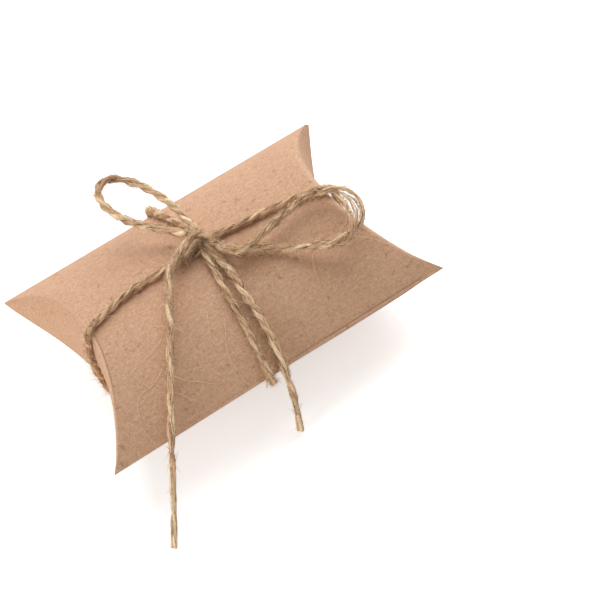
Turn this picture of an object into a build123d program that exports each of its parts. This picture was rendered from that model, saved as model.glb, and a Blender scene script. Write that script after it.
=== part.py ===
from build123d import *
import os
from math import acos, cos, degrees, pi, sin, sqrt, tan

# Favor box: a pillow box folded from one blank of kraft card and tied crosswise with jute twine.
# X runs along the box, Y across it, Z up. The origin is on the surface that the tied box lies on.

# Card sleeve
box_length = 90.0  # corner to corner along the side folds
box_width = 61.0  # side fold to side fold
box_height = 24.5  # crown to crown over the outside
card = 0.45  # thickness of the card
fold_gap = 0.05  # room between two panels where the card folds
flap_gap = 0.35  # room between an outer flap and the inner flap behind it
flap_lap = 0.6  # how far an outer flap's free edge hangs past the bottom panel
tip_relief = 1.5  # how far an outer flap stops short of the side folds
tuck_gap = 0.8  # room between an inner flap and the top panel when it folds in
shoulder_share = 0.36  # drop of an inner flap's shoulders, as a share of the clear height

# Glued seam along the near side fold
glue_width = 10.0  # width of the strip inside the bottom panel
glue_length = 74.0  # length of the strip at the fold
glue_slant = 45.0  # angle of its trimmed ends
glue_film = 0.05  # thickness of the glue
seam_gap = 0.4  # how far the bottom panel's cut edge stays below the fold

# Twine
twine = 2.0  # diameter of the cord
twine_gap = 0.3  # room between the cord and the card that it lies on
cross_gap = 0.1  # room between two strands that cross
rest_flat = 0.2  # depth of the flat where the lowest strand bears on the surface
end_bend = 1.5  # radius of the cord's middle where it turns over an end
side_bend = 1.6  # radius of the cord's middle where it turns round a side fold
cross_x = -2.3  # place of the widthwise strand along the box
left_strand_y = -1.9  # where the lengthwise strand meets the left end crease
right_strand_y = -0.9  # where it meets the right end crease

# Bow knot
knot_x = 0.6
knot_y = 2.9
knot_radius = 4.3
knot_height = 5.0
knot_round = 2.6  # radius of its rounded top edge
band_radius = 2.9  # the turn of cord over the knot
band_rise = 2.2  # height of that turn's middle above the crown of the top panel
band_angle = 35.0  # direction that it crosses the knot in
straight_share = 0.55  # part of a free cord's first run that is straight

# Heights, from the surface up
cross_under_z = twine / 2 - rest_flat
underside_z = cross_under_z + twine + cross_gap
bottom_z = underside_z + twine / 2 + cross_gap + flap_lap
crown = box_height / 2
mid_z = bottom_z + crown
top_z = mid_z + crown
top_strand_z = top_z + twine_gap + twine / 2

# The bowed panels are arcs. A flap that stands upright needs an end crease that lies in a plane
# at 45 degrees, so in plan the crease is the same arc as the panel's section.
arc_radius = ((box_width / 2) ** 2 + crown**2) / (2 * crown)
arc_drop = arc_radius - crown
crease_x = box_length / 2 - crown
inner_crease_x = crease_x - card - flap_gap
crease_rise = arc_radius * sqrt(2)


def crease_plane(end, side, crease):
    """The plane of a curved crease: end is 1 for right and -1 for left, side 1 for top and -1 for bottom."""
    return Plane(
        origin=(end * crease, 0, mid_z + side * crown),
        x_dir=(0, -end * side, 0),
        z_dir=(end, 0, side),
    )


def section_centre(side):
    """Centre of the arc of the top (1) or bottom (-1) panel, in the YZ plane."""
    return (0, mid_z - side * arc_drop)


def save(piece, name):
    piece.part.label = name
    export_step(piece.part, f"parts/{name}.step")


os.makedirs("parts", exist_ok=True)

# Top panel: a bowed sheet whose ends are cut along the curved creases.
with BuildPart() as top_panel:
    with BuildSketch(Plane.YZ):
        with Locations(section_centre(1)):
            Circle(arc_radius)
            Circle(arc_radius - card, mode=Mode.SUBTRACT)
        with Locations((0, mid_z)):
            Rectangle(box_width, box_height, align=(Align.CENTER, Align.MIN), mode=Mode.INTERSECT)
    extrude(amount=box_length / 2, both=True)
    for end in (-1, 1):
        with BuildSketch(crease_plane(end, 1, crease_x)):
            with Locations((0, crease_rise)):
                Ellipse(arc_radius, crease_rise)
        extrude(amount=box_height, both=True, mode=Mode.SUBTRACT)
save(top_panel, "top_panel")

# Bottom panel: the same sheet turned over, with its creases set in so that the inner flaps
# stand behind the outer ones, and with a cut edge at the near side.
with BuildPart() as bottom_panel:
    with BuildSketch(Plane.YZ):
        with Locations(section_centre(-1)):
            Circle(arc_radius)
            Circle(arc_radius - card, mode=Mode.SUBTRACT)
        with Locations((0, mid_z)):
            Rectangle(box_width, box_height, align=(Align.CENTER, Align.MAX), mode=Mode.INTERSECT)
        with Locations((-box_width / 2, mid_z)):
            Rectangle(glue_width, 2 * seam_gap, mode=Mode.SUBTRACT)
    extrude(amount=box_length / 2, both=True)
    for end in (-1, 1):
        with BuildSketch(crease_plane(end, -1, inner_crease_x)):
            with Locations((0, crease_rise)):
                Ellipse(arc_radius, crease_rise)
        extrude(amount=box_height, both=True, mode=Mode.SUBTRACT)
save(bottom_panel, "bottom_panel")

# Glue flap: the strip that folds in under the near side and carries the bottom panel's edge.
glue_radius = arc_radius - card - glue_film
with BuildPart() as glue_flap:
    with BuildSketch(Plane.YZ):
        with Locations(section_centre(-1)):
            Circle(glue_radius)
            Circle(glue_radius - card, mode=Mode.SUBTRACT)
        with Locations(section_centre(1)):
            Circle(arc_radius - card - fold_gap, mode=Mode.INTERSECT)
        with Locations((-box_width / 2, mid_z)):
            Rectangle(glue_width, box_height, align=(Align.MIN, Align.CENTER), mode=Mode.INTERSECT)
    extrude(amount=glue_length / 2, both=True)
    with BuildSketch(Plane.XY):
        with Locations((0, -box_width / 2)):
            Trapezoid(glue_length, glue_width, glue_slant, align=(Align.CENTER, Align.MIN))
    extrude(amount=top_z, mode=Mode.INTERSECT)
save(glue_flap, "glue_flap")

# Outer end flaps: an upright lens that follows the crease, hung from the top panel.
with BuildPart() as right_outer_flap:
    with BuildSketch(Plane.XY.offset(bottom_z - flap_lap)):
        with Locations((crease_x + arc_radius, 0)):
            Circle(arc_radius + card)
            Circle(arc_radius, mode=Mode.SUBTRACT)
        with Locations((crease_x - card, 0)):
            Rectangle(
                crown + card,
                box_width - 2 * tip_relief,
                align=(Align.MIN, Align.CENTER),
                mode=Mode.INTERSECT,
            )
    extrude(amount=box_height + flap_lap)
    with BuildSketch(Plane.YZ):
        with Locations(section_centre(-1)):
            Circle(arc_radius + flap_lap)
    extrude(amount=box_length, mode=Mode.INTERSECT)
    with BuildSketch(crease_plane(1, 1, crease_x)):
        with Locations((0, crease_rise + fold_gap)):
            Ellipse(arc_radius, crease_rise)
    extrude(amount=box_height, both=True, mode=Mode.INTERSECT)
save(right_outer_flap, "right_outer_flap")

with BuildPart() as left_outer_flap:
    mirror(right_outer_flap.part, about=Plane.YZ)
save(left_outer_flap, "left_outer_flap")

# Inner end flaps: the same form hinged on the bottom panel. A line of the flap that stands a drop s
# inside the crown may be sqrt((clear - s)^2 - s^2) high if it is to pass under the top panel as the
# flap folds in, so the shoulders are cut back along an arc that keeps below that.
clear_height = box_height - 2 * card
inner_bottom_z = bottom_z + card
shoulder_drop = shoulder_share * clear_height
shoulder_y = sqrt(arc_radius**2 - (arc_radius - shoulder_drop) ** 2)
shoulder_z = inner_bottom_z + sqrt((clear_height - shoulder_drop) ** 2 - shoulder_drop**2) - tuck_gap
with BuildPart() as right_inner_flap:
    with BuildSketch(Plane.XY.offset(bottom_z)):
        with Locations((inner_crease_x + arc_radius, 0)):
            Circle(arc_radius + card)
            Circle(arc_radius, mode=Mode.SUBTRACT)
        with Locations((inner_crease_x - card, 0)):
            Rectangle(
                crown + card, 2 * shoulder_y, align=(Align.MIN, Align.CENTER), mode=Mode.INTERSECT
            )
    extrude(amount=box_height)
    with BuildSketch(Plane.YZ):
        with BuildLine():
            free_edge = ThreePointArc(
                (-shoulder_y, shoulder_z),
                (0, inner_bottom_z + clear_height - tuck_gap),
                (shoulder_y, shoulder_z),
            )
            Polyline(free_edge @ 1, (shoulder_y, 0), (-shoulder_y, 0), free_edge @ 0)
        make_face()
    extrude(amount=box_length, mode=Mode.INTERSECT)
    with BuildSketch(crease_plane(1, -1, inner_crease_x)):
        with Locations((0, crease_rise + fold_gap)):
            Ellipse(arc_radius, crease_rise)
    extrude(amount=box_height, both=True, mode=Mode.INTERSECT)
save(right_inner_flap, "right_inner_flap")

with BuildPart() as left_inner_flap:
    mirror(right_inner_flap.part, about=Plane.YZ)
save(left_inner_flap, "left_inner_flap")


def cord(path, name, rest=False):
    """A round stretch of cord along a path. With rest, it is cut flat where it bears on the surface."""
    with BuildPart() as stretch:
        with BuildSketch(Plane(origin=path @ 0, z_dir=path % 0)):
            Circle(twine / 2)
        sweep(path=path)
        if rest:
            split(bisect_by=Plane.XY, keep=Keep.TOP)
    save(stretch, name)
    even = pi * (twine / 2) ** 2 * path.length
    print(f"{name}: {path.length:.1f} mm long, volume {stretch.part.volume / even:.3f} of section times length")
    return stretch


# Lengthwise turn of twine: from the knot over the left end, under the box and over the right end.
end_x = crease_x + twine_gap + twine / 2
strand_reach = knot_radius - twine / 2
with BuildLine() as lengthwise:
    FilletPolyline(
        (knot_x - strand_reach, knot_y, top_strand_z),
        (-end_x, left_strand_y, top_strand_z),
        (-end_x, 0, underside_z),
        (end_x, 0, underside_z),
        (end_x, right_strand_y, top_strand_z),
        (knot_x + strand_reach, knot_y, top_strand_z),
        radius=end_bend,
    )
turn = lengthwise.wire().edges()
twine_left_top = cord(Wire(turn[0:1]), "twine_left_top")
twine_left_bend = cord(Wire(turn[1:2]), "twine_left_bend")
twine_left_end = cord(Wire(turn[2:4]), "twine_left_end")
twine_underside = cord(Wire(turn[4:5]), "twine_underside")
twine_right_end = cord(Wire(turn[5:7]), "twine_right_end")
twine_right_bend = cord(Wire(turn[7:8]), "twine_right_bend")
twine_right_top = cord(Wire(turn[8:9]), "twine_right_top")

# Widthwise turn of twine, in the plane X = cross_x: it follows the bowed panels, turns round the
# side folds, and runs straight off the bottom panel to pass under the lengthwise strand.
strand_radius = arc_radius + twine_gap + twine / 2
hump_radius = twine + cross_gap
hump_angle = acos((strand_radius - hump_radius) / (mid_z + arc_drop - underside_z))
side_y = sqrt((strand_radius - side_bend) ** 2 - arc_drop**2)
side_stretch = strand_radius / (strand_radius - side_bend)


def around_side(hand):
    """The cord's path round the far (1) or near (-1) side fold, from the knot to under the box."""
    knot_end = hand * strand_reach + knot_y
    top_start = (knot_end, mid_z - arc_drop + sqrt(strand_radius**2 - knot_end**2))
    side_top = (hand * side_y * side_stretch, mid_z + arc_drop * (side_stretch - 1))
    side_middle = (hand * (side_y + side_bend), mid_z)
    side_bottom = (side_top[0], 2 * mid_z - side_top[1])
    leave = (
        hand * strand_radius * sin(hump_angle),
        mid_z + arc_drop - strand_radius * cos(hump_angle),
    )
    with BuildLine(Plane.YZ.offset(cross_x)) as route:
        RadiusArc(top_start, side_top, hand * strand_radius)
        ThreePointArc(side_top, side_middle, side_bottom)
        RadiusArc(side_bottom, leave, hand * strand_radius)
    return route.wire(), leave


far_route, far_leave = around_side(1)
near_route, near_leave = around_side(-1)
twine_far_side = cord(far_route, "twine_far_side")
twine_near_side = cord(near_route, "twine_near_side")

hump_y = hump_radius * sin(hump_angle)
hump_z = underside_z - hump_radius * cos(hump_angle)
with BuildLine(Plane.YZ.offset(cross_x)) as under_route:
    Line(far_leave, (hump_y, hump_z))
    ThreePointArc((hump_y, hump_z), (0, underside_z - hump_radius), (-hump_y, hump_z))
    Line((-hump_y, hump_z), near_leave)
twine_cross_under = cord(under_route.wire(), "twine_cross_under", rest=True)


def free_cord(points, name):
    """A free stretch of cord through hand-chosen points, each corner as round as its runs allow."""
    spots = [Vector(*point) for point in points]
    runs = [after - before for before, after in zip(spots, spots[1:])]
    radii = []
    for before, after in zip(runs, runs[1:]):
        half_turn = before.get_angle(after) / 2 * pi / 180
        radii.append((1 - straight_share) * min(before.length, after.length) / tan(half_turn))
    with BuildLine() as route:
        FilletPolyline(*spots, radius=radii)
    print(f"{name} radii: {', '.join(f'{radius:.1f}' for radius in radii)}")
    return cord(route.wire(), name)


# Bow: two loops and two tails, from the knot out. The loops stand by the cord's own stiffness, the
# tails lie on the top panel, pass over the near side fold and come down to the surface.
left_loop_points = [
    (1.2, 5.4, 32.3),
    (0.8, 11.8, 33.0),
    (-0.6, 18.6, 33.8),
    (-3.0, 25.0, 34.4),
    (-6.0, 29.8, 34.7),
    (-8.8, 31.9, 34.8),
    (-11.4, 31.2, 34.8),
    (-13.0, 28.6, 34.6),
    (-13.2, 24.6, 34.4),
    (-11.8, 19.6, 34.0),
    (-9.0, 15.0, 33.5),
    (-5.4, 10.8, 33.0),
    (-1.3, 5.8, 32.6),
]
right_loop_points = [
    (2.6, 0.9, 33.1),
    (6.2, -5.4, 33.3),
    (12.6, -6.4, 33.0),
    (19.4, -4.9, 33.0),
    (26.0, -3.4, 33.2),
    (31.4, -4.6, 33.4),
    (34.4, -8.8, 33.5),
    (34.4, -14.0, 33.4),
    (31.8, -18.2, 32.8),
    (27.6, -19.4, 31.6),
    (23.2, -17.0, 30.4),
    (17.6, -12.8, 29.6),
    (11.1, -7.6, 30.0),
    (6.0, -4.0, 30.5),
    (2.3, 0.2, 31.0),
]
left_tail_points = [
    (-2.2, 3.4, 32.9),
    (-6.3, 1.2, 33.0),
    (-10.1, -1.5, 32.7),
    (-13.3, -6.2, 31.0),
    (-16.5, -12.1, 29.2),
    (-20.6, -17.9, 27.2),
    (-24.7, -24.1, 24.0),
    (-28.7, -29.7, 20.6),
    (-32.3, -34.0, 15.8),
    (-35.5, -37.6, 10.2),
    (-38.8, -41.2, 4.9),
    (-42.2, -45.2, 1.2),
]
right_tail_points = [
    (0.0, 0.3, 30.9),
    (0.9, -4.8, 30.5),
    (2.1, -9.3, 29.8),
    (1.5, -13.9, 28.6),
    (1.6, -18.9, 26.7),
    (1.6, -23.4, 24.3),
    (1.2, -28.4, 21.1),
    (0.5, -32.9, 16.8),
    (-0.2, -34.8, 11.2),
    (-1.2, -35.9, 5.8),
    (-2.2, -36.9, 0.9),
]
bow_loop_left = free_cord(left_loop_points, "bow_loop_left")
bow_loop_right = free_cord(right_loop_points, "bow_loop_right")
tail_left = free_cord(left_tail_points, "tail_left")
tail_right = free_cord(right_tail_points, "tail_right")

# Knot: a rounded lump on the crown of the top panel, with one turn of cord over it and a socket
# for each strand that leaves it.
band_plane = Plane(
    origin=(knot_x, knot_y, top_z + band_rise),
    x_dir=Vector(1, 0, 0).rotate(Axis.Z, band_angle),
    z_dir=Vector(0, -1, 0).rotate(Axis.Z, band_angle),
)
free_ends = (
    left_loop_points[:2],
    left_loop_points[:-3:-1],
    right_loop_points[:2],
    right_loop_points[:-3:-1],
    left_tail_points[:2],
    right_tail_points[:2],
)
with BuildPart() as bow_knot:
    with BuildSketch(Plane.XY.offset(top_z + cross_gap)):
        with Locations((knot_x, knot_y)):
            Circle(knot_radius)
    extrude(amount=knot_height)
    fillet(bow_knot.faces().sort_by(Axis.Z)[-1].edges(), radius=knot_round)
    with BuildLine(band_plane):
        over = CenterArc((0, 0), band_radius, 0, 180)
    with BuildSketch(Plane(origin=over @ 0, z_dir=over % 0)):
        Circle(twine / 2)
    sweep(path=over)
    for strand in (twine_left_top, twine_right_top, twine_far_side, twine_near_side):
        add(strand.part, mode=Mode.SUBTRACT)
    for start, next_point in free_ends:
        way = Vector(*next_point) - Vector(*start)
        with BuildSketch(Plane(origin=start, z_dir=way)):
            Circle(twine / 2)
        extrude(amount=straight_share * way.length, mode=Mode.SUBTRACT)
save(bow_knot, "bow_knot")
print(f"flat width of a panel {2 * arc_radius * acos(arc_drop / arc_radius):.1f} mm, crown of the box {top_z:.2f} mm up")
print(f"slope of a panel at its side fold {degrees(acos(arc_drop / arc_radius)):.1f} degrees")
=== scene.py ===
import math
import random

import bmesh
import bpy
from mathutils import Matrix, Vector, noise


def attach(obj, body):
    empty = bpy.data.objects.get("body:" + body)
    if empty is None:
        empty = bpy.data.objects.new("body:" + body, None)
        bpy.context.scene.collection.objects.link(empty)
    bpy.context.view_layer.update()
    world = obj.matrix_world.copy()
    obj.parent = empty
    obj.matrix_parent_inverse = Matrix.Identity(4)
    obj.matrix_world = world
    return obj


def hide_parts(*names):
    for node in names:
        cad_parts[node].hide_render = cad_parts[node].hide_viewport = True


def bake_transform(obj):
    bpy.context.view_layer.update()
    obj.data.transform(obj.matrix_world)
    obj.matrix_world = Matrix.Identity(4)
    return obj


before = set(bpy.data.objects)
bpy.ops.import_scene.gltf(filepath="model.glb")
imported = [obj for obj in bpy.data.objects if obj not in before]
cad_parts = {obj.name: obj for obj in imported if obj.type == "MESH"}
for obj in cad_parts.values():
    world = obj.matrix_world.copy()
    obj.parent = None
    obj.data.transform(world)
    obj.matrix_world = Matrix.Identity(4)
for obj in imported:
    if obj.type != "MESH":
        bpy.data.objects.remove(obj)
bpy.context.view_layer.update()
scene = bpy.context.scene
scene.view_settings.view_transform = "Standard"

# Top panel. The box is folded from one blank of brown kraft card, scored and glued along one side.
# This is the upper of its two faces: it bows across the box and ends at a curved score at each end.
mm = 0.001
half_width = 30.5 * mm
crown = 12.25 * mm
middle = 16.85 * mm
card = 0.45 * mm
crease = 32.75 * mm
score_round = {-1: 0.8 * mm, 1: 1.9 * mm}
score_share = 0.4
score_half = 45
fold_line = 0.018
side_fold_worn_and_highlit = 0.6
press_line = -0.973
press_depth = 0.12 * mm
press_stretch = (-30 * mm, 48 * mm, 43 * mm, 6 * mm)
painted_shade_left_crease_span = (-0.62, 0.2, -0.06, 0.06)
bow = (half_width**2 + crown**2) / (2 * crown)
drop = bow - crown


def spread(low, high, count):
    """Evenly spaced stations from low to high."""
    return [low + (high - low) * i / (count - 1) for i in range(count)]


def ramp_up(value, start, reach):
    """How far a value has come from a start over a reach, held between 0 and 1."""
    return min(max((value - start) / reach, 0), 1)


def between(value, low, fade_in, high, fade_out):
    """1 between two limits and 0 outside them, with a soft fade inside each."""
    return ramp_up(value, low, fade_in) * ramp_up(-value, -high, fade_out)


def rise(y, radius):
    """Height of a bowed panel's arc above the plane of the side folds."""
    return math.sqrt(radius**2 - y**2) - drop


def put(tree, kind, inputs=None, **settings):
    """Adds a shader node, with its inputs given as values or as sockets to join."""
    made = tree.nodes.new(kind)
    for key, value in settings.items():
        setattr(made, key, value)
    for key, value in (inputs or {}).items():
        if isinstance(value, bpy.types.NodeSocket):
            tree.links.new(value, made.inputs[key])
        else:
            made.inputs[key].default_value = value
    return made


def dye(red, green, blue):
    """A colour given in display values from 0 to 255."""
    parts = [value / 255 for value in (red, green, blue)]
    return [p / 12.92 if p < 0.04045 else ((p + 0.055) / 1.055) ** 2.4 for p in parts] + [1]


board_dark = dye(171, 127, 95)
board_pale = dye(223, 183, 152)
board_patch = dye(185, 141, 108)
pale_fibre = dye(234, 203, 174)
dark_fleck = dye(126, 88, 62)
# Pale fold colour: wear with a painted highlight.
fold_colour_worn_and_highlit = dye(238, 206, 178)
# Dark crease colour: painted shade.
crease_painted_shade = dye(118, 80, 54)


def mixed(tree, amount, under, over):
    """Lays one colour over another by an amount and gives the colour that comes of it."""
    return put(tree, "ShaderNodeMix", {0: amount, 6: under, 7: over}, data_type="RGBA").outputs[2]


def scaled(tree, value, factor):
    """A value times a factor."""
    return put(tree, "ShaderNodeMath", {0: value, 1: factor}, operation="MULTIPLY").outputs[0]


def kraft_face_group():
    """Mottled brown board with dark flecks and pale fibres: its colour and its height.
    Score is above 0 where a fold is pale, worn and with a painted highlight, and below 0 where a crease or
    pressed line is darkened with painted shade."""
    tree = bpy.data.node_groups.new("kraft_face", "ShaderNodeTree")
    tree.interface.new_socket("Score", in_out="INPUT", socket_type="NodeSocketFloat")
    tree.interface.new_socket("Color", in_out="OUTPUT", socket_type="NodeSocketColor")
    tree.interface.new_socket("Height", in_out="OUTPUT", socket_type="NodeSocketFloat")
    score = put(tree, "NodeGroupInput").outputs["Score"]
    place = put(tree, "ShaderNodeTexCoord").outputs["Object"]
    cloud = put(tree, "ShaderNodeTexNoise", {"Vector": place, "Scale": 130, "Detail": 3})
    mottle = put(tree, "ShaderNodeTexNoise", {"Vector": place, "Scale": 1700, "Detail": 4, "Roughness": 0.6})
    grain = put(tree, "ShaderNodeTexNoise", {"Vector": place, "Scale": 4300, "Detail": 3})
    tones = put(tree, "ShaderNodeMath", {0: mottle.outputs[0], 1: grain.outputs[0]}, operation="ADD")
    tones = put(tree, "ShaderNodeMapRange", {0: tones.outputs[0], 1: 0.57, 2: 1.43, 3: 0.0, 4: 1.0})
    board = mixed(tree, tones.outputs[0], board_dark, board_pale)
    patchy = put(tree, "ShaderNodeMapRange", {0: cloud.outputs[0], 1: 0.3, 2: 0.7, 3: 0.0, 4: 0.22})
    board = mixed(tree, patchy.outputs[0], board, board_patch)
    for turn, along in ((0.5, 1500), (1.9, 1900), (2.6, 1300)):
        stretch = (along * 0.16, along, along)
        laid = put(tree, "ShaderNodeMapping", {"Vector": place, "Rotation": (0, 0, turn), "Scale": stretch})
        hair = put(tree, "ShaderNodeTexNoise", {"Vector": laid.outputs[0], "Scale": 1, "Detail": 1})
        thin = put(tree, "ShaderNodeMath", {0: hair.outputs[0], 1: 0.5, 2: 0.013}, operation="COMPARE")
        board = mixed(tree, scaled(tree, thin.outputs[0], 0.22), board, pale_fibre)
    flecks = []
    for size, rare, dark in ((420, 0.625, 0.4), (1000, 0.635, 0.6)):
        noisy = {"Vector": place, "Scale": size, "Detail": 3, "Roughness": 0.7}
        bark = put(tree, "ShaderNodeTexNoise", noisy)
        spot = put(tree, "ShaderNodeMapRange", {0: bark.outputs[0], 1: rare, 2: rare + 0.07, 3: 0.0, 4: dark})
        flecks.append(spot.outputs[0])
    fleck = put(tree, "ShaderNodeMath", {0: flecks[1], 1: flecks[0]}, operation="MAXIMUM")
    board = mixed(tree, fleck.outputs[0], board, dark_fleck)
    # Pale at the folds, for wear and as a painted highlight.
    board = mixed(tree, scaled(tree, score, 0.28), board, fold_colour_worn_and_highlit)
    # Dark as painted shade in creases and along the pressed line.
    board = mixed(tree, scaled(tree, score, -0.6), board, crease_painted_shade)
    put(tree, "NodeGroupOutput", {"Color": board, "Height": tones.outputs[0]})
    return tree


kraft_face = kraft_face_group()


def kraft(name, roughness):
    """Uncoated kraft card."""
    made = bpy.data.materials.new(name)
    made.use_nodes = True
    tree = made.node_tree
    shader = tree.nodes["Principled BSDF"]
    score = put(tree, "ShaderNodeAttribute", attribute_name="score")
    face = put(tree, "ShaderNodeGroup", node_tree=kraft_face)
    tree.links.new(score.outputs["Fac"], face.inputs["Score"])
    tree.links.new(face.outputs["Color"], shader.inputs["Base Color"])
    height = face.outputs["Height"]
    bump = put(tree, "ShaderNodeBump", {"Height": height, "Strength": 0.12, "Distance": 0.0002})
    tree.links.new(bump.outputs[0], shader.inputs["Normal"])
    shader.inputs["Roughness"].default_value = roughness
    shader.inputs["Specular IOR Level"].default_value = 0.25
    return made


def show(name, mesh, material):
    """Puts a finished mesh in the scene under its own name."""
    made = bpy.data.objects.new(name, mesh)
    scene.collection.objects.link(made)
    mesh.materials.append(material)
    return made


def card_sheet(name, along, across, place, material):
    """A sheet of card. place gives a point and its score mark for a station, on the face or the back."""
    sheet = bmesh.new()
    score = sheet.verts.layers.float.new("score")
    bmesh.ops.create_grid(sheet, x_segments=len(along) - 1, y_segments=len(across) - 1, size=1)
    sides = [list(sheet.verts)]
    copy = bmesh.ops.duplicate(sheet, geom=sheet.verts[:] + sheet.edges[:] + sheet.faces[:])["geom"]
    sides.append([part for part in copy if isinstance(part, bmesh.types.BMVert)])
    bmesh.ops.reverse_faces(sheet, faces=[part for part in copy if isinstance(part, bmesh.types.BMFace)])
    bmesh.ops.translate(sheet, verts=sides[1], vec=(0, 0, -0.1))
    bmesh.ops.bridge_loops(sheet, edges=[edge for edge in sheet.edges if edge.is_boundary])
    for depth, verts in enumerate(sides):
        for vert in verts:
            row = along[round((vert.co.x + 1) / 2 * (len(along) - 1))]
            column = across[round((vert.co.y + 1) / 2 * (len(across) - 1))]
            vert.co, vert[score] = place(row, column, depth)
    bmesh.ops.recalc_face_normals(sheet, faces=sheet.faces[:])
    mesh = bpy.data.meshes.new(name)
    sheet.to_mesh(mesh)
    sheet.free()
    mesh.shade_smooth()
    mesh.set_sharp_from_angle(angle=math.radians(50))
    return show(name, mesh, material)


def score_wear_and_highlight(column):
    """How pale the score is at a station, from wear and a painted highlight: it fades towards the far fold.
    """
    return min(1, max(0.2, 1 - (column - 0.1) / 0.5))


def panel_point(row, column, depth, side, crease_at, near_cut):
    """A point of a bowed panel and its score mark. row is its share of the length and how far it has
    turned into the score. near_cut is how far the near edge stops short of the fold. A panel that is cut
    there springs off at the seam, and one that isn't has a line pressed beside the fold, darkened with
    painted shade. The mark is also painted shade along the near half of the left crease."""
    share, turned = row
    radius = bow - depth * card
    far = math.asin(math.sqrt(radius**2 - drop**2) / radius)
    near = math.asin(math.sqrt(radius**2 - (drop + near_cut) ** 2) / radius)
    angle = column * (far if column > 0 else near)
    y = radius * math.sin(angle)
    face = rise(y, bow) if abs(y) < half_width else 0.0
    height = rise(y, radius)
    reach = crease_at + crown - 2 * face + height
    soft = max(min(score_round[1 if share > 0 else -1], score_share * face) - depth * card, 0.0)
    x = share * (reach - soft)
    if turned:
        x += math.copysign(soft * math.sin(math.radians(turned)), share)
        height -= soft * (1 - math.cos(math.radians(turned)))
    # The mark is pale at the scores and side folds, for wear and as a painted highlight.
    fold = max(0.0, 1 - (1 - abs(column)) / fold_line)
    mark = max(turned / score_half * score_wear_and_highlight(column), side_fold_worn_and_highlit * fold)
    if near_cut:
        band = max(0.0, (-column - (1 - seam_band)) / seam_band)
        spring = seam_spring * between(x, *seam_stretch) * band**2
        y -= spring
        height -= 0.5 * spring
    # Painted shade darkens the near half of the left crease and the pressed line beside the near fold.
    elif row == (-1, 0):
        mark = -between(column, *painted_shade_left_crease_span)
    elif column == press_line:
        pressed = between(x, *press_stretch)
        height -= press_depth * pressed
        mark = -pressed
    return Vector((x, y, middle + side * height)), mark


score_turns = [15, 30, score_half]
panel_rows = [(-1, turned) for turned in reversed(score_turns)] + [(-1, 0), (-0.99, 0)]
panel_rows += [(share, 0) for share in spread(-0.96, 0.96, 47)] + [(1, 0)]
panel_rows += [(1, turned) for turned in score_turns]
near_columns = [-1, -0.992, -0.982, -0.978, press_line, -0.968]
panel_columns = near_columns + spread(-0.95, 0.95, 41) + [0.982, 0.992, 1]
kraft_card = kraft("kraft_card", 0.86)
kraft_top = card_sheet(
    "kraft_top_panel",
    panel_rows,
    panel_columns,
    lambda row, column, depth: panel_point(row, column, depth, 1, crease, 0.0),
    kraft_card,
)
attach(kraft_top, "carton")
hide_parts("top_panel")

# Bottom panel. The other bowed face of the card, joined to the top one by the far side fold.
# Its ends are set in by the thickness of the flaps, and its near edge is a raw cut at the glued seam.
flap_gap = 0.35 * mm
inner_crease = crease - card - flap_gap
seam_gap = 0.4 * mm
seam_spring = 0.6 * mm
seam_band = 0.3
seam_stretch = (-8 * mm, 30 * mm, 43 * mm, 10 * mm)
kraft_bottom = card_sheet(
    "kraft_bottom_panel",
    panel_rows,
    panel_columns,
    lambda row, column, depth: panel_point(row, column, depth, -1, inner_crease, seam_gap),
    kraft_card,
)
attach(kraft_bottom, "carton")
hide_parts("bottom_panel")

# Glue flap. A narrow strip of the card along the top panel's near fold, tucked in and glued to the inside
# of the bottom panel. Its ends are trimmed at a slant so that it stays clear of the end flaps.
glue_width = 10 * mm
glue_reach = 37 * mm
glue_film = 0.05 * mm
glue_bow = bow - card - glue_film


def glue_point(row, column, depth):
    """A point of the glue flap, which lies on the inside of the bottom panel. It has no score mark."""
    radius = glue_bow - depth * card
    edge = -math.sqrt(glue_bow**2 - drop**2) + depth * 0.5 * card
    y = edge + (column + 1) / 2 * (glue_width - half_width - edge)
    reach = glue_reach - (y + half_width)
    return Vector((row * reach, y, middle - rise(y, radius))), 0.0


kraft_glue = card_sheet("kraft_glue_flap", spread(-1, 1, 25), spread(-1, 1, 9), glue_point, kraft_card)
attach(kraft_glue, "carton")
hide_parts("glue_flap")

# Outer end flaps. A lens of the same card at each end, folded down from the top panel along the curved score.
# The fold makes it stand upright and hollow.
tip_relief = 0.35 * mm
flap_lap = 0.6 * mm
flap_lean = {-1: 1.35 * mm, 1: 1.7 * mm}
flap_swell = 1.1 * mm
twine_hold = 0.6
twine_hold_width = 5 * mm
loose_tip_shut = 0.6
top = middle + crown
bottom = middle - crown


def outer_flap_point(row, column, depth, end):
    """A point of an outer flap and its score mark. It leans out, less where the twine holds it in.
    Its tips stay shut, apart from the far one on the right, which stands off."""
    share, turned = row
    y = column * (half_width - tip_relief)
    hollow = bow - math.sqrt(bow**2 - y**2)
    x = crease + bow - math.sqrt((bow + depth * card) ** 2 - y**2)
    height = top - hollow - (crease + hollow - x)
    soft = max(min(score_round[end], score_share * (crown - hollow)) - depth * card, 0.0)
    free = middle + drop - math.sqrt((bow + flap_lap * (1 - column**6)) ** 2 - y**2)
    if turned:
        x -= soft * (1 - math.sin(math.radians(turned)))
        z = height - soft * (1 - math.cos(math.radians(turned)))
    else:
        z = height - soft + share * (free - height + soft)
    held = twine_hold * math.exp(-((y / twine_hold_width) ** 2))
    shut = column**8
    if end > 0 and column >= 0:
        shut *= loose_tip_shut
    x += share * flap_lean[end] * (1 - shut) * (1 - held)
    x += flap_swell * math.sin(math.pi * share**0.8) * (1 - column**2)
    # The fold mark is pale, for wear and as a painted highlight.
    mark = max(0.0, 1 - (turned - score_half) / score_half) * score_wear_and_highlight(column) if turned else 0.0
    return Vector((end * x, y, z)), mark


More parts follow.
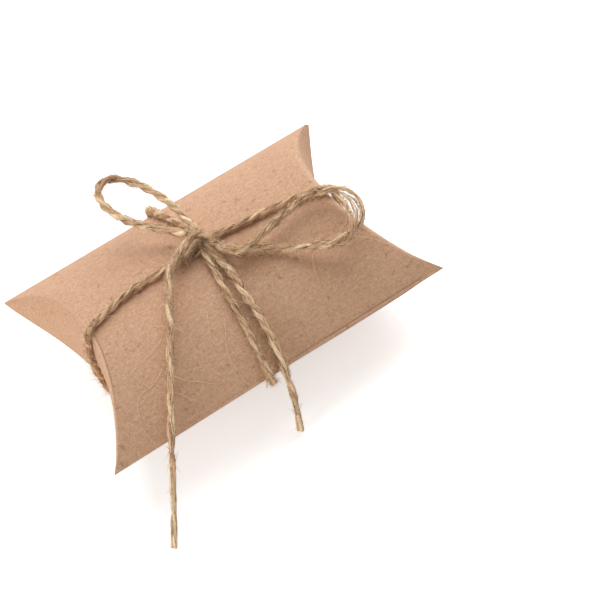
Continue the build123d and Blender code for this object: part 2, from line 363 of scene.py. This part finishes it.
flap_rows = [(0, score_half), (0, 60), (0, 75)] + [(share, 0) for share in spread(0, 1, 25)]
flap_columns = spread(-1, 1, 61)
for side_name, end in (("left", -1), ("right", 1)):
    flap = card_sheet(
        f"kraft_{side_name}_outer_flap",
        flap_rows,
        flap_columns,
        lambda row, column, depth: outer_flap_point(row, column, depth, end),
        kraft_card,
    )
    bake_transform(flap)
    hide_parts(f"{side_name}_outer_flap")

# Inner end flaps. The same lens on the bottom panel, closed first and covered by the outer flap.
# Its free edge is cut back in an arc so that it passes under the top panel as it folds in.
free_top = 27.85 * mm
free_radius = 36.02 * mm
shoulder = 26.02 * mm


def inner_flap_point(row, column, depth, end):
    """A point of an inner flap and its score mark."""
    share, turned = row
    y = column * shoulder
    hollow = bow - math.sqrt(bow**2 - y**2)
    x = inner_crease + bow - math.sqrt((bow + depth * card) ** 2 - y**2)
    height = bottom + hollow + (inner_crease + hollow - x)
    soft = max(min(score_round[end], score_share * (crown - hollow)) - depth * card, 0.0)
    free = free_top - free_radius + math.sqrt(free_radius**2 - y**2)
    if turned:
        x -= soft * (1 - math.sin(math.radians(turned)))
        z = height + soft * (1 - math.cos(math.radians(turned)))
    else:
        z = height + soft + share * (free - height - soft)
    mark = max(0.0, 1 - (turned - score_half) / score_half) if turned else 0.0
    return Vector((end * x, y, z)), mark


for side_name, end in (("left", -1), ("right", 1)):
    flap = card_sheet(
        f"kraft_{side_name}_inner_flap",
        flap_rows,
        flap_columns,
        lambda row, column, depth: inner_flap_point(row, column, depth, end),
        kraft_card,
    )
    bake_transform(flap)
    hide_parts(f"{side_name}_inner_flap")

# Twine, lengthwise turn. Two plies of natural jute twisted together, tied round the length of the box.
# The plies are uneven and hairy, straw-coloured with olive and brown strands.
ply_offset = 0.33 * mm
ply_radius = 0.47 * mm
twist_pitch = 8.4 * mm
end_round = 0.7 * mm
twist_slack = 0.4
ply_wander = 0.3
ply_lumps = 0.22
ridges = 7
ridge_height = 0.05
knob_height = 0.2
groove_reach = 0.8 * mm
groove_painted_shade = 0.5
painted_shade_depth = 0.6
patch_shade = 0.22
cut_end_painted_light = 0.3
parted_gape = 1.5 * mm
strands_per_mm = 6
fan_count = 26
hair_reach = 4.5 * mm
hair_limit = 2.8 * mm
hair_curl = 0.16
fuzz_limit = 2.4 * mm
fuzz_radii = (0.036 * mm, 0.032 * mm, 0.02 * mm)
surface_gap = 0.1 * mm
loose_tones = (0.2, 0.5, 0.65, 0.85, 1.0)
jute_shades = (
    (0.0, (96, 70, 44)),
    (0.25, (168, 127, 92)),
    (0.5, (214, 172, 139)),
    (0.75, (234, 199, 159)),
    (1.0, (250, 228, 188)),
)
# The loose strands and hairs are drawn from these ranges, which are in millimetres.
strand_run = (3, 8)
strand_lift = (-0.05, 0.17)
strand_radius = (0.04, 0.1)
fan_aside = (-2.0, 2.0)
fan_above = (-0.6, 0.5)
fan_radius = (0.05, 0.13)
hair_radius = (0.035, 0.075)
fuzz_reach = (0.4, 1.3)


def jute_group():
    """Streaky bast fibre along a ply: its colour and its height, from the ply's own map."""
    tree = bpy.data.node_groups.new("jute_fibre", "ShaderNodeTree")
    tree.interface.new_socket("Color", in_out="OUTPUT", socket_type="NodeSocketColor")
    tree.interface.new_socket("Height", in_out="OUTPUT", socket_type="NodeSocketFloat")
    laid = put(tree, "ShaderNodeAttribute", attribute_name="fibre")
    tone = put(tree, "ShaderNodeAttribute", attribute_name="tone")
    sliver = put(tree, "ShaderNodeMapping", {"Vector": laid.outputs["Vector"], "Scale": (170, 1900, 1900)})
    streaky = {"Vector": sliver.outputs[0], "Scale": 1, "Detail": 4, "Roughness": 0.75}
    slivers = put(tree, "ShaderNodeTexNoise", streaky)
    drift = put(tree, "ShaderNodeMapRange", {0: slivers.outputs[0], 1: 0.3, 2: 0.7, 3: -0.4, 4: 0.4})
    shade = put(tree, "ShaderNodeMath", {0: tone.outputs["Fac"], 1: drift.outputs[0]}, operation="ADD")
    ramp = put(tree, "ShaderNodeValToRGB", {0: shade.outputs[0]})
    stops = ramp.color_ramp.elements
    for position, _ in jute_shades[1:-1]:
        stops.new(position)
    for stop, (_, colour) in zip(stops, jute_shades):
        stop.color = dye(*colour)
    place = put(tree, "ShaderNodeTexCoord").outputs["Object"]
    fuzz = put(tree, "ShaderNodeTexNoise", {"Vector": place, "Scale": 6500, "Detail": 2})
    nap = put(tree, "ShaderNodeMath", {0: fuzz.outputs[0], 1: slivers.outputs[0]}, operation="ADD")
    put(tree, "NodeGroupOutput", {"Color": ramp.outputs[0], "Height": nap.outputs[0]})
    return tree


jute_fibre = jute_group()


def jute(name, roughness):
    """Spun jute, dull with a faint silky light along the fibre."""
    made = bpy.data.materials.new(name)
    made.use_nodes = True
    tree = made.node_tree
    shader = tree.nodes["Principled BSDF"]
    fibre = put(tree, "ShaderNodeGroup", node_tree=jute_fibre)
    tree.links.new(fibre.outputs["Color"], shader.inputs["Base Color"])
    height = fibre.outputs["Height"]
    bump = put(tree, "ShaderNodeBump", {"Height": height, "Strength": 0.5, "Distance": 0.0002})
    tree.links.new(bump.outputs[0], shader.inputs["Normal"])
    shader.inputs["Roughness"].default_value = roughness
    shader.inputs["Specular IOR Level"].default_value = 0.3
    shader.inputs["Sheen Weight"].default_value = 0.15
    return made


def smooth_line(points, steps):
    """Points along the smooth line that given points, in millimetres, pull a cord into."""
    route = bpy.data.curves.new("route", "CURVE")
    route.dimensions = "3D"
    route.resolution_u = steps
    spline = route.splines.new("NURBS")
    spline.points.add(len(points) - 1)
    for held, point in zip(spline.points, points):
        held.co = (*(Vector(point) * mm), 1)
    spline.order_u = 3
    spline.use_endpoint_u = True
    carrier = bpy.data.objects.new("route", route)
    mesh = bpy.data.meshes.new_from_object(carrier)
    line = [vert.co.copy() for vert in mesh.vertices]
    bpy.data.meshes.remove(mesh)
    bpy.data.objects.remove(carrier)
    bpy.data.curves.remove(route)
    return line


def tubes(lines, sides):
    """Round strands along lists of points with a radius each, as one mesh with a map along the strand."""
    bundle = bpy.data.curves.new("bundle", "CURVE")
    bundle.dimensions = "3D"
    bundle.bevel_depth = 1.0
    bundle.bevel_resolution = sides // 2 - 2
    for line in lines:
        spline = bundle.splines.new("POLY")
        spline.points.add(len(line) - 1)
        for held, (point, radius) in zip(spline.points, line):
            held.co = (*point, 1)
            held.radius = radius
    carrier = bpy.data.objects.new("bundle", bundle)
    mesh = bpy.data.meshes.new_from_object(carrier)
    bpy.data.objects.remove(carrier)
    bpy.data.curves.remove(bundle)
    return mesh


def frames(line):
    """Length so far, direction and two crosswise directions at each point of a line.
    The crosswise ones turn no more than the line does."""
    ahead = [(line[min(i + 1, len(line) - 1)] - line[max(i - 1, 0)]).normalized() for i in range(len(line))]
    across = ahead[0].orthogonal().normalized()
    length = 0.0
    found = []
    for i, point in enumerate(line):
        if i:
            length += (point - line[i - 1]).length
            across = ahead[i - 1].rotation_difference(ahead[i]) @ across
        across = (across - ahead[i] * across.dot(ahead[i])).normalized()
        found.append((length, ahead[i], across, ahead[i].cross(across)))
    return found


def near_share(lengths, share, width):
    """How near each point of a cord is to a share of its length, as a soft hump. No share gives no hump."""
    if not share:
        return [0.0] * len(lengths)
    return [math.exp(-(((length / lengths[-1] - share) / width) ** 2)) for length in lengths]


def sideways(place, turn):
    """The direction out of a cord at a turn round it."""
    _, _, across, up = place
    return math.cos(turn) * across + math.sin(turn) * up


def ply_twists(placed, seed, pitch, opened, undone):
    """The turn of the twist at each point. It is uneven, and slower where plies part or a cut end undoes."""
    twists = [seed]
    for (before, *_), (length, *_), gape, slip in zip(placed, placed[1:], opened, undone):
        slack = twist_slack * noise.noise(Vector((length * 110, seed, 0)))
        rate = (1 + slack) * (1 - 0.8 * gape) * (1 - 0.75 * slip)
        twists.append(twists[-1] - 2 * math.pi * (length - before) / pitch * rate)
    return twists


def laid_level(placed, twists, i):
    """The same twist, turned so that the plies lie side by side at one point."""
    _, ahead, across, up = placed[i]
    level = ahead.cross(Vector((0, 0, 1)))
    shift = math.atan2(level.dot(up), level.dot(across)) - twists[i]
    return [twist + shift for twist in twists]


def ply_paths(line, placed, twists, opened, sizes, seed, thinned, cut):
    """The middle and radius of each of the two plies along the cord, rounded off at the ends."""
    span = placed[-1][0]
    plies = [[], []]
    for point, place, twist, gape, size in zip(line, placed, twists, opened, sizes):
        length = place[0]
        left_over = 1 if cut else (span - length) / end_round
        blunt = 0.6 + 0.4 * min(1, length / end_round, left_over)
        if thinned:
            blunt *= 0.3 + 0.7 * min(1, (span - length) / thinned)
        for ply, path in enumerate(plies):
            loose = noise.noise(Vector((length * 140, 17.0 * ply, seed)))
            fat = noise.noise(Vector((length * 260, 9.0 * ply, seed + 5)))
            out = sideways(place, twist + ply * math.pi)
            offset = size * ply_offset * (1 + ply_wander * loose) + parted_gape * gape
            radius = size * ply_radius * blunt * (1 + ply_lumps * fat - 0.4 * gape)
            path.append((point + out * offset, radius))
    return plies


def slack_strands(dice, placed, plies):
    """Strands that run along a ply for a few millimetres and have slackened on it."""
    span = placed[-1][0]
    strands = []
    for _ in range(int(span / mm * strands_per_mm)):
        path = dice.choice(plies)
        count = min(int(len(placed) * dice.uniform(*strand_run) * mm / span), len(placed) - 1)
        start = dice.randrange(-count // 2, len(placed) - count // 2)
        start = min(max(start, 0), len(placed) - 1 - count)
        angle = dice.uniform(0, 2 * math.pi)
        wind = dice.uniform(-450, 450)
        lift = dice.uniform(*strand_lift) * mm
        thick = dice.uniform(*strand_radius) * mm
        strand = []
        for i in range(start, start + count + 1, max(count // 9, 1)):
            share = math.sin(math.pi * (i - start) / count)
            out = sideways(placed[i], angle + wind * placed[i][0])
            root, radius = path[i]
            strand.append((root + out * (radius + lift * share), thick * (0.35 + 0.65 * share)))
        strands.append(strand)
    return strands


def fan_strands(dice, line, placed, opened):
    """Strands that fan out to both sides where the plies have come apart."""
    strands = []
    for _ in range(fan_count):
        half = int(len(line) * dice.uniform(0.05, 0.12))
        centre = opened.index(max(opened)) + dice.randrange(-half // 2, half // 2)
        aside = dice.uniform(*fan_aside) * mm
        above = dice.uniform(*fan_above) * mm
        thick = dice.uniform(*fan_radius) * mm
        strand = []
        for i in range(centre - half, centre + half + 1, 3):
            share = math.cos(math.pi / 2 * (i - centre) / half)
            level = placed[i][1].cross(Vector((0, 0, 1))).normalized()
            spot = line[i] + (level * aside + Vector((0, 0, above))) * share
            strand.append((spot, thick * (0.3 + 0.7 * share)))
        strands.append(strand)
    return strands


def hair_root(dice, placed, plies, last):
    """A random place on a ply: its number along the cord, the ply's middle and radius, and the way out."""
    path = dice.choice(plies)
    i = dice.randrange(1, last)
    root, radius = path[i]
    return i, root, radius, sideways(placed[i], dice.uniform(0, 2 * math.pi))


def any_bend(dice):
    """A random direction to bend in."""
    return Vector((dice.uniform(-1, 1), dice.uniform(-1, 1), dice.uniform(-1, 1)))


def stray_hairs(dice, line, placed, plies, hairs):
    """Long hairs that stand off the plies and curl. hairs is their number in a millimetre of cord."""
    kept = []
    for _ in range(int(placed[-1][0] / mm * hairs)):
        i, root, radius, out = hair_root(dice, placed, plies, len(line) - 1)
        ahead = placed[i][1] * dice.choice((-1, 1)) * dice.uniform(0.5, 1.8)
        way = (ahead + out * dice.uniform(0.2, 1.1)).normalized()
        reach = dice.uniform(0.4, 1.0) ** 2 * hair_reach
        bend = any_bend(dice)
        fine = dice.uniform(*hair_radius) * mm
        at = root + out * 0.8 * radius
        hair = []
        for step in range(6):
            hair.append((at.copy(), fine * (1 - 0.12 * step)))
            at += way * reach / 5
            way = (way + bend * hair_curl).normalized()
        beside = line[max(i - 20, 0) : i + 20]
        far = max(min((point - spot).length for spot in beside) for point, _ in hair)
        if far < hair_limit and min(point.z for point, _ in hair) > surface_gap:
            kept.append(hair)
    return kept


def short_fuzz(dice, line, placed, plies, fuzz, cut):
    """Short soft fuzz on the plies, with none towards a cut end.
    fuzz is the number of hairs in a millimetre of cord."""
    last = int((0.6 if cut else 0.98) * len(line))
    kept = []
    for _ in range(int(placed[-1][0] / mm * fuzz)):
        i, root, radius, out = hair_root(dice, placed, plies, last)
        way = (placed[i][1] * dice.uniform(-1.6, 1.6) + out).normalized()
        bend = any_bend(dice)
        reach = dice.uniform(*fuzz_reach) * mm
        at = root + out * 0.85 * radius
        tips = [at, at + way * reach / 2, at + (way + 0.3 * bend) * reach]
        if (tips[2] - line[i]).length < fuzz_limit and min(point.z for point in tips) > surface_gap:
            kept.append(list(zip(tips, fuzz_radii)))
    return kept


def spun_piece(name, form):
    """Closes the ends of spun strands and puts them in the scene as one piece of jute."""
    bmesh.ops.holes_fill(form, edges=[edge for edge in form.edges if edge.is_boundary])
    bmesh.ops.recalc_face_normals(form, faces=form.faces[:])
    mesh = bpy.data.meshes.new(name)
    form.to_mesh(mesh)
    form.free()
    mesh.shade_smooth()
    made = show(name, mesh, jute_twine)
    return made


def lay_twine(
    name,
    line,
    seed,
    pitch=twist_pitch,
    hairs=6,
    fuzz=16,
    full=1.0,
    tones=(0.53, 1.0),
    parted=None,
    painted_shade_at=None,
    puffed=None,
    thinned=0.0,
    cut=False,
):
    """Twine along a line: a straw and a tan ply twisted to the left, ridged, with loose strands and hairs.
    full is how thick it is for its kind, and tones are the shades of its two plies, from 0, dark, to 1, pale.
    parted and puffed are the shares of the length at which it has come apart or is fuller, and the share
    given for painted shade is where it is darkened.
    thinned is how far the end thins. A cut end has lost its twist, is paler with painted light and stops
    square."""
    dice = random.Random(seed)
    placed = frames(line)
    lengths = [length for length, *_ in placed]
    opened = near_share(lengths, parted, 0.1)
    # Painted shade darkens the cord around the share given for it.
    painted_shade_amounts = near_share(lengths, painted_shade_at, 0.045)
    sizes = [full * (1 + 0.4 * puff) for puff in near_share(lengths, puffed, 0.06)]
    undone = [ramp_up(length / lengths[-1], 0.45, 0.4) if cut else 0.0 for length in lengths]
    twists = ply_twists(placed, seed, pitch, opened, undone)
    if parted or cut:
        twists = laid_level(placed, twists, opened.index(max(opened)) if parted else len(line) - 1)
    plies = ply_paths(line, placed, twists, opened, sizes, seed, thinned, cut)
    loose = slack_strands(dice, placed, plies)
    if parted:
        loose += fan_strands(dice, line, placed, opened)
    loose += stray_hairs(dice, line, placed, plies, hairs)
    loose += short_fuzz(dice, line, placed, plies, fuzz, cut)
    whole = bmesh.new()
    counts = [0]
    for mesh in (tubes(plies[:1], 16), tubes(plies[1:], 16), tubes(loose, 4)):
        whole.from_mesh(mesh)
        bpy.data.meshes.remove(mesh)
        counts.append(len(whole.verts))
    fibre = whole.verts.layers.float_vector.new("fibre")
    tone = whole.verts.layers.float.new("tone")
    spun = whole.loops.layers.uv["UVMap"]
    whole.verts.ensure_lookup_table()
    for ply, path in enumerate(plies):
        for vert in whole.verts[counts[ply] : counts[ply + 1]]:
            along, round_ply = vert.link_loops[0][spun].uv
            i = round(along * (len(path) - 1))
            angle = 2 * math.pi * round_ply + 300 * lengths[i]
            knobbly = Vector((lengths[i] * 420, 3 * math.cos(angle), 3 * math.sin(angle) + 11 * ply + seed))
            swell = 1 + ridge_height * math.cos(ridges * angle) + knob_height * noise.noise(knobbly)
            vert.co = path[i][0] + (vert.co - path[i][0]) * swell
            vert[fibre] = (lengths[i] + seed + ply, mm * math.cos(angle), mm * math.sin(angle))
            # Painted shade darkens the tone towards the groove between the plies.
            groove = max(0.0, 1 - (vert.co - line[i]).length / groove_reach)
            patch = patch_shade * noise.noise(Vector((lengths[i] * 230, 31.0 * ply, seed)))
            # Painted light makes the tone paler towards a cut end.
            shade = tones[ply] - groove_painted_shade * groove + cut_end_painted_light * undone[i] - painted_shade_depth * painted_shade_amounts[i]
            vert[tone] = shade + patch
    for vert in whole.verts[counts[2] :]:
        vert[fibre] = (vert.co.x + vert.co.y, vert.co.z, 9.0)
    first = counts[2]
    for path in loose:
        shade = dice.choice(loose_tones)
        for vert in whole.verts[first : first + 4 * len(path)]:
            vert[tone] = shade
        first += 4 * len(path)
    return spun_piece(name, whole)


jute_twine = jute("jute_twine", 0.8)
left_route = [
    (-0.4, 3.0, 30.7), (-2.8, 3.0, 30.4), (-6.5, 2.1, 30.25), (-10.3, 1.8, 30.2), (-14.5, 1.7, 30.2),
    (-19.6, 1.7, 30.2), (-25.4, 0.5, 30.2), (-30.4, -1.1, 30.25), (-33.1, -2.2, 30.4), (-34.0, -2.7, 29.6),
    (-34.35, -2.6, 27.0), (-34.95, -1.7, 22.0), (-35.1, -0.6, 16.85), (-34.9, 0.5, 11.0), (-34.55, 1.0, 6.4),
    (-34.3, 0.7, 3.6), (-33.3, 0.4, 2.9), (-32.4, 0.2, 2.9),
]
right_route = [
    (1.4, 3.0, 30.7), (3.9, 2.9, 30.4), (8.5, 2.4, 30.2), (13.4, 1.6, 30.2), (20.0, 0.9, 30.2),
    (26.4, -0.3, 30.2), (30.8, -2.0, 30.2), (32.9, -2.8, 30.2), (33.9, -3.1, 29.4), (34.3, -2.8, 27.0),
    (35.0, -1.7, 21.5), (35.25, -0.4, 16.85), (35.1, 0.0, 11.0), (34.7, 0.1, 6.4), (34.4, 0.1, 3.6),
    (33.3, 0.1, 2.9), (32.4, 0.1, 2.9),
]
for side_name, end, route, seed in (("left", -1, left_route, 1.0), ("right", 1, right_route, 2.0)):
    line = smooth_line(route, 14)
    turn = lay_twine(f"jute_{side_name}_turn", line, seed, hairs=3, full=1.08, tones=(0.42, 0.7))
    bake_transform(turn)
    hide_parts(f"twine_{side_name}_top", f"twine_{side_name}_bend", f"twine_{side_name}_end")

underside_route = [
    (-32.6, 0.2, 2.9), (-26.0, 0.1, 2.95), (-18.0, 0.0, 3.0), (-9.0, 0.0, 2.95), (-2.3, 0.0, 2.9),
    (6.0, 0.0, 2.95), (14.0, 0.0, 3.0), (24.0, 0.1, 2.95), (32.6, 0.1, 2.9),
]
underside = lay_twine("jute_underside", smooth_line(underside_route, 18), 3.0)
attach(underside, "carton")
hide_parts("twine_underside")

# Twine, widthwise turn. The same cord goes on from the knot round the two side folds.
# It crosses under the lengthwise turn, and the box lies on that crossing.


def over_card(x, y, lift=1.12):
    """A point over the top panel, in millimetres, with the cord's middle that far off the card."""
    return (x, y, (middle + rise(y * mm, bow + lift * mm)) / mm)


def under_card(x, y, lift=1.25):
    """The same under the bottom panel."""
    return (x, y, (middle - rise(y * mm, bow + lift * mm)) / mm)


across_route = [
    (0.4, 5.2, 30.6), over_card(0.8, 9.4), over_card(-0.3, 14.8), over_card(-1.3, 20.5),
    over_card(-1.7, 25.4), over_card(-1.9, 29.2, 1.3), (-2.0, 31.5, 18.4), (-2.1, 31.5, 15.3),
    under_card(-2.2, 29.0, 1.3), under_card(-2.3, 24.0), under_card(-2.3, 19.0), under_card(-2.3, 14.6),
    (-2.3, 8.5, 3.6),
    (-2.3, 2.0, 1.3), (-2.3, 0.6, 1.06), (-2.3, -0.6, 1.06), (-2.3, -2.0, 1.3), (-2.3, -8.5, 3.6),
    under_card(-2.3, -14.6), under_card(-2.4, -19.0), under_card(-2.8, -24.0), under_card(-3.3, -29.0, 1.3),
    (-3.6, -31.6, 15.3), (-3.6, -31.6, 18.4), over_card(-3.4, -28.9, 1.3), over_card(-2.9, -24.6),
    over_card(-2.4, -19.6), over_card(-1.8, -13.4), over_card(-1.1, -7.0), over_card(-0.5, -2.6),
    (-0.1, 1.0, 30.5), (0.4, 3.0, 30.8),
]
across_line = smooth_line(across_route, 14)
across_turn = lay_twine("jute_across_turn", across_line, 4.0, hairs=9, full=0.9, puffed=0.17)
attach(across_turn, "carton")
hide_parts("twine_far_side", "twine_cross_under", "twine_near_side")

# Bow. Two loops and two cut tails of the same cord stand and fall away from the knot.
# The loops hold themselves up by the cord's stiffness; the tails lie on the card and drop over the near fold.
left_loop_route = [
    (1.2, 5.4, 32.3), (0.8, 11.8, 33.0), (-0.6, 18.6, 33.8), (-3.0, 25.0, 34.4), (-6.0, 29.8, 34.7),
    (-8.8, 31.9, 34.8), (-11.4, 31.2, 34.8), (-13.0, 28.6, 34.6), (-13.2, 24.6, 34.4), (-11.8, 19.6, 34.0),
    (-9.0, 15.0, 33.5), (-5.4, 10.8, 33.0), (-1.3, 5.8, 32.6),
]
right_loop_route = [
    (1.7, 2.4, 31.9), (2.5, -0.8, 32.5), (4.2, -6.2, 32.6), (8.4, -7.6, 32.6), (13.5, -6.1, 33.0),
    (19.4, -4.9, 33.0), (26.0, -3.4, 33.2), (31.2, -4.8, 33.4), (33.7, -9.0, 33.5), (33.7, -14.0, 33.4),
    (31.4, -18.0, 32.8), (27.6, -19.4, 31.6), (23.2, -17.0, 30.4), (17.6, -12.8, 29.6), (11.1, -7.6, 30.0),
    (6.0, -4.0, 30.5), (2.3, 0.2, 31.0),
]
left_tail_route = [
    (-2.2, 3.4, 32.9), (-6.3, 1.2, 33.0), (-10.1, -1.5, 32.7), (-13.3, -6.2, 31.0), (-16.5, -12.1, 29.2),
    (-20.6, -17.9, 27.2), (-24.7, -24.1, 24.0), (-28.7, -29.7, 20.6), (-32.3, -34.0, 15.8),
    (-35.5, -37.6, 10.2), (-38.8, -41.2, 4.9), (-42.2, -45.2, 1.2),
]
right_tail_route = [
    (1.2, 1.6, 31.0), (1.3, -1.0, 30.8), (1.5, -4.7, 30.5), (2.1, -9.3, 29.8), (1.5, -13.9, 28.6),
    (1.6, -18.9, 26.7), (1.4, -23.4, 24.3), (0.6, -28.5, 21.1), (-0.4, -32.9, 16.8), (-1.0, -34.8, 11.2),
    (-1.8, -35.9, 5.8), (-2.8, -36.9, 0.9),
]
for node, route, length, far_end, seed, laid in (
    # The left loop is darkened near its far tip with painted shade.
    ("bow_loop_left", left_loop_route, 0.0614, "object", 5.0, dict(hairs=4, full=1.2, painted_shade_at=0.46)),
    ("bow_loop_right", right_loop_route, 0.0838, "object", 6.0, dict(hairs=16, parted=0.53)),
    ("tail_left", left_tail_route, 0.0736, "bare", 7.0, dict(pitch=10.4 * mm, hairs=2, cut=True)),
    ("tail_right", right_tail_route, 0.0538, "bare", 8.0, dict(pitch=7.6 * mm, hairs=3, full=1.1, cut=True)),
):
    line = smooth_line(route, 14)
    free = lay_twine(f"jute_{node}", line, seed, **laid)
    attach(free, "carton")
    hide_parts(node)

# Bow knot. The cord's own turns pulled tight over the crossing on the crown of the top panel.
# One turn passes over the others from right to left and runs out as the left tail.
knot_tones = (0.5, 0.92)
# The lowest turn lies in the hollow under the knot and is given dark tones as painted shade.
hollow_painted_shade_tones = (0.0, 0.2)
knot_turns = [
    [
        (1.0, 1.7, 30.8), (1.9, 0.7, 32.0), (2.3, 1.1, 33.2), (1.6, 2.1, 33.9), (0.3, 2.8, 34.1),
        (-1.4, 2.9, 34.0), (-3.1, 2.4, 33.7), (-5.0, 1.5, 33.3), (-6.7, 0.8, 32.6),
    ],
    [
        (0.9, 2.3, 31.0), (0.1, 2.1, 32.6), (-0.9, 2.0, 33.4), (-2.5, 1.4, 33.5), (-4.0, 0.6, 33.2),
        (-5.3, 0.1, 32.5), (-6.5, -0.3, 31.4),
    ],
    [(-0.9, 6.6, 32.0), (-0.2, 5.6, 32.3), (0.8, 3.4, 32.6), (1.4, 1.6, 31.8), (1.6, 0.6, 30.8)],
    [(0.9, 1.4, 30.4), (-0.75, 1.5, 30.2), (-2.7, 1.2, 30.1), (-4.5, 0.9, 30.0), (-6.2, 0.7, 29.95)],
]
for number, route in enumerate(knot_turns):
    turn = lay_twine(
        f"jute_knot_turn_{number}",
        smooth_line(route, 14),
        9.0 + number,
        hairs=12,
        tones=hollow_painted_shade_tones if number == 3 else knot_tones,
        thinned=4 * mm,
    )
    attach(turn, "carton")
    if number == 0:
        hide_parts("bow_knot")

# Shed fibres. A few long hairs that have worked loose from the cord and lie curled on the card.
# They are single bast fibres, paler than the cord, most of them still caught in it at one end.
shed_radius = 0.046 * mm
shed_lift = 0.12
shed_tone = 0.95
shed_routes = [
    [
        (-23.6, -18.6, 0.4), (-26.0, -20.3, 0.15), (-29.0, -20.5), (-32.0, -21.2), (-33.6, -23.8),
        (-34.6, -26.8), (-33.8, -29.4),
    ],
    [(-22.6, -20.6, 0.5), (-20.6, -23.2), (-18.0, -24.4), (-15.3, -26.4)],
    [(-24.6, -23.4, 0.5), (-22.6, -25.0), (-21.6, -27.2), (-22.0, -29.6)],
    [(-20.0, -13.0, 0.4), (-22.4, -14.2), (-26.0, -15.0), (-29.9, -15.8)],
    [(-17.8, -10.7, 0.4), (-19.1, -9.6), (-20.5, -8.8)],
    [(-15.9, -12.3, 0.4), (-15.5, -13.2), (-14.8, -14.3)],
    [(-5.2, -16.3), (-7.2, -19.4), (-9.1, -22.5), (-9.6, -25.0), (-9.1, -27.1), (-8.8, -29.7)],
    [(-7.8, -13.0), (-9.5, -16.3), (-10.9, -18.9), (-10.0, -20.9), (-7.6, -20.0)],
    [(20.1, -14.5, 0.5), (19.2, -16.0), (18.3, -18.1), (17.5, -20.7)],
    [(27.0, -15.4, 2.6), (30.0, -16.0, 1.2), (33.0, -17.4, 0.3), (36.0, -20.4), (38.4, -23.4)],
]
shed_hairs = []
for route in shed_routes:
    line = smooth_line([over_card(x, y, *(lift or [shed_lift])) for x, y, *lift in route], 10)
    shed_hairs.append([(point, shed_radius * (1 - 0.5 * i / len(line))) for i, point in enumerate(line)])
shed_form = bmesh.new()
shed_form.from_mesh(tubes(shed_hairs, 6))
pale = shed_form.verts.layers.float.new("tone")
for vert in shed_form.verts:
    vert[pale] = shed_tone
shed_fibres = spun_piece("jute_shed_fibres", shed_form)
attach(shed_fibres, "carton")

# Floor, light and camera. A white sweep that glows a little to the eye, so that it reads as plain white.
# A broad soft box stands behind on the right and a small one on the left. The view is the photograph's.
floor_glow = 0.52
floor_mesh = bpy.data.meshes.new("floor")
floor_form = bmesh.new()
bmesh.ops.create_grid(floor_form, x_segments=1, y_segments=1, size=3)
floor_form.to_mesh(floor_mesh)
floor_form.free()
white = bpy.data.materials.new("white_sweep")
white.use_nodes = True
white_shader = white.node_tree.nodes["Principled BSDF"]
white_shader.inputs["Base Color"].default_value = (0.9, 0.9, 0.9, 1)
white_shader.inputs["Roughness"].default_value = 0.9
white_shader.inputs["Specular IOR Level"].default_value = 0.0
rays = put(white.node_tree, "ShaderNodeLightPath")
seen = put(
    white.node_tree,
    "ShaderNodeMath",
    {0: rays.outputs["Is Camera Ray"], 1: rays.outputs["Is Glossy Ray"]},
    operation="ADD",
)
glow = scaled(white.node_tree, seen.outputs[0], floor_glow)
white_shader.inputs["Emission Color"].default_value = (1, 1, 1, 1)
white.node_tree.links.new(glow, white_shader.inputs["Emission Strength"])
floor = show("floor", floor_mesh, white)

world = bpy.data.worlds.new("studio")
world.use_nodes = True
sky = world.node_tree.nodes["Background"]
sky.inputs["Color"].default_value = (1, 0.95, 0.89, 1)
sky.inputs["Strength"].default_value = 0.385
scene.world = world


def lamp(name, place, aim, size, watts, colour):
    """A square soft box that faces a point."""
    light = bpy.data.lights.new(name, "AREA")
    light.color = colour
    light.size = size
    light.energy = watts
    made = bpy.data.objects.new(name, light)
    made.location = place
    made.rotation_euler = (Vector(aim) - Vector(place)).to_track_quat("-Z", "Y").to_euler()
    scene.collection.objects.link(made)


lamp(
    "key",
    place=(0.33, 0.45, 0.62),
    aim=(0, 0, 0.015),
    size=1.0,
    watts=9.3,
    colour=(0.97, 1.0, 1.05),
)
lamp(
    "side",
    place=(-0.55, -0.12, 0.12),
    aim=(-0.03, 0, 0.015),
    size=0.25,
    watts=1.6,
    colour=(1.0, 0.98, 0.96),
)

view = bpy.data.cameras.new("view")
view.lens = 86.287
view.sensor_width = 36
view.clip_end = 20
camera = bpy.data.objects.new("view", view)
camera.location = Vector((-53.955, -212.059, 285.431)) * mm
camera.rotation_euler = [math.radians(angle) for angle in (36.4426, 10.0275, -32.2559)]
scene.collection.objects.link(camera)
scene.camera = camera
